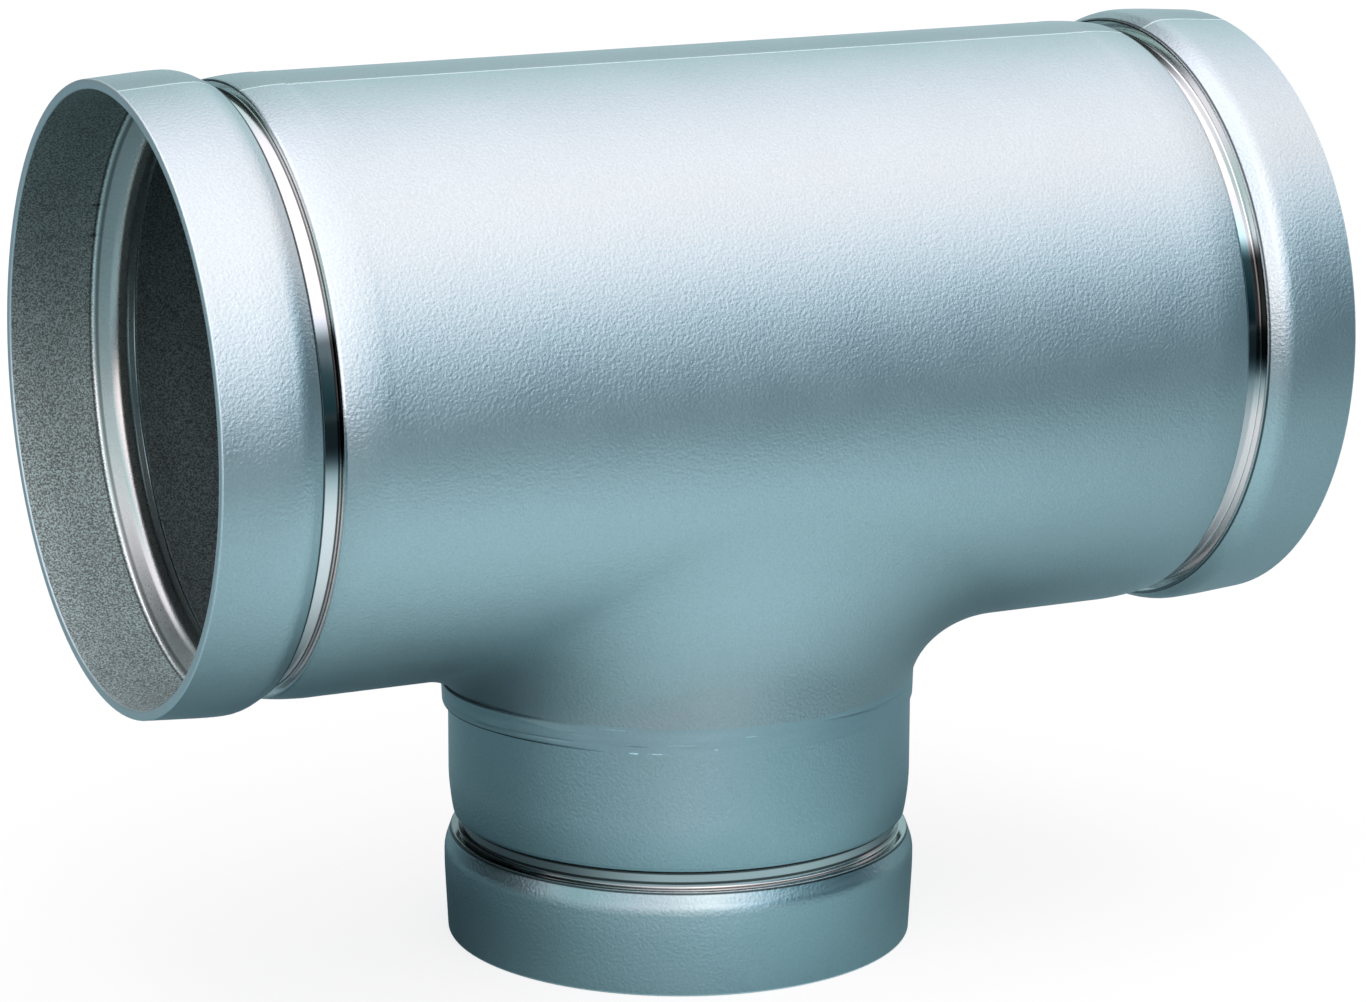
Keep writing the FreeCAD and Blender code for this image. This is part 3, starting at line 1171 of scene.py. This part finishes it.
start_fresh()
bpy.ops.mesh.primitive_plane_add(size=FLOOR_SIZE, location=(0, 0, -0.1 * MM))
floor = bpy.context.object
floor.name = "floor"
place_in_mesh(floor)
material, graph = new_material("pale_paper")
place = graph.object_place()
across = coordinate(graph, place, 0)
towards_back = coordinate(graph, place, 1)
leaned = across + (towards_back + RIGHT_LEAN_FROM) * RIGHT_LEAN
from_branch = (across * across + towards_back * towards_back).math("SQRT")
close = (1 - graph.ramp(from_branch, *CLOSE_FADE)) * CLOSE_LOSS
on_left = (1 - graph.ramp(across, *BACK_LEFT_FADE)) * BACK_LEFT_LOSS
on_paper = graph.ramp(towards_back, *FRONT_FADE) * FRONT_GAIN
on_paper = on_paper * (LEFT_LEVEL + (1 - LEFT_LEVEL) * graph.ramp(across, *LEFT_FADE))
on_paper = on_paper * (1 - RIGHT_LOSS * graph.ramp(leaned, *RIGHT_FADE))
on_paper = on_paper * (1 - graph.ramp(towards_back, *BACK_FADE) * close.math("MAXIMUM", on_left))
mirrored = graph.mix_color(on_paper, TABLE, PAPER_TINT)
seen = graph.seen_by_camera()
paper = graph.node("ShaderNodeBsdfDiffuse", {}, {"Color": graph.mix_color(seen, mirrored, WHITE)})
glow = graph.node("ShaderNodeEmission", {}, {"Color": WHITE, "Strength": 1.0})
mixed = graph.node("ShaderNodeMixShader", {}, {0: seen * CAMERA_GLOW, 1: paper, 2: glow})
graph.node("ShaderNodeOutputMaterial", {}, {"Surface": mixed})
floor.data.materials.append(material)
print("The paper is", FLOOR_SIZE, "m wide")

# %% [markdown]
# The light is the world's own colour, which changes with direction. A softbox hangs over the tee and leans
# to the front: the stops run from the back horizon (0) over the top (0.5) to the front horizon (1). Its front
# edge hangs lower to the left. Over the front it is brighter left of the middle and dimmer far to the right,
# and at the back it is dark on the left. A large area lamp could light the tee too, but its edges couldn't be
# tuned so finely.

# %% The softbox and the room
SKY_STRENGTH = 2.05
SKEW = 0.43
SKEW_MIDDLE = 0.49
SKEW_FADE = (0.4, 0.7)
SKY_STOPS = [
    (0.00, (0.15, 0.21, 0.24, 1)),
    (0.17, (0.30, 0.42, 0.42, 1)),
    (0.26, (0.43, 0.49, 0.50, 1)),
    (0.34, (0.65, 0.60, 0.67, 1)),
    (0.55, (0.86, 0.74, 0.73, 1)),
    (0.66, (0.82, 0.70, 0.69, 1)),
    (0.74, (0.66, 0.60, 0.70, 1)),
    (0.80, (0.56, 0.72, 0.81, 1)),
    (0.825, (0.48, 0.66, 0.75, 1)),
    (0.85, (0.10, 0.24, 0.29, 1)),
    (0.94, (0.03, 0.11, 0.14, 1)),
    (1.00, (0.01, 0.04, 0.06, 1)),
]
FRONT_FROM = (0.24, 0.40)
LEFT_BOOST = 0.50
BOOST_FADES = (-0.45, -0.2, -0.1, 0.35)
FAR_RIGHT = (0.65, 0.85)
FAR_RIGHT_LOSS = 0.4
FAR_LEFT = (-0.65, -0.45)
BACK_LEFT = (-0.05, 0.30)
BACK_LEFT_DARK = 0.95

world = bpy.data.worlds.new("studio")
bpy.context.scene.world = world
world.use_nodes = True
graph = Graph(world.node_tree)
direction = graph.node("ShaderNodeTexCoord")
to_right = coordinate(graph, direction, 0)
to_back = coordinate(graph, direction, 1)
up = coordinate(graph, direction, 2)
turn = up.math("ARCTAN2", to_back) / math.pi
lean = graph.ramp(turn, *SKEW_FADE) * (to_right - SKEW_MIDDLE) * SKEW
sky = graph.node("ShaderNodeValToRGB", {"stops": SKY_STOPS}, {0: turn + lean})
over_front = graph.ramp(turn, *FRONT_FROM)
left_of_middle = (1 - graph.ramp(to_right, *BOOST_FADES[2:])) * graph.ramp(to_right, *BOOST_FADES[:2])
far_left = (1 - graph.ramp(to_right, *FAR_LEFT)) * (1 - over_front)
back_left = (1 - graph.ramp(to_right, *BACK_LEFT)) * (1 - over_front)
level = (1 - far_left) * (1 + left_of_middle * over_front * LEFT_BOOST)
level = level * (1 - FAR_RIGHT_LOSS * graph.ramp(to_right, *FAR_RIGHT)) * (1 - BACK_LEFT_DARK * back_left)
studio = graph.node("ShaderNodeBackground", {}, {"Color": sky, "Strength": level * SKY_STRENGTH})
backdrop = graph.node("ShaderNodeBackground", {}, {"Color": WHITE, "Strength": 1.0})
mixed = graph.node("ShaderNodeMixShader", {}, {0: graph.seen_by_camera(), 1: studio, 2: backdrop})
graph.node("ShaderNodeOutputWorld", {}, {"Surface": mixed})
bpy.context.scene.view_settings.view_transform = "Standard"
print("The studio is set")
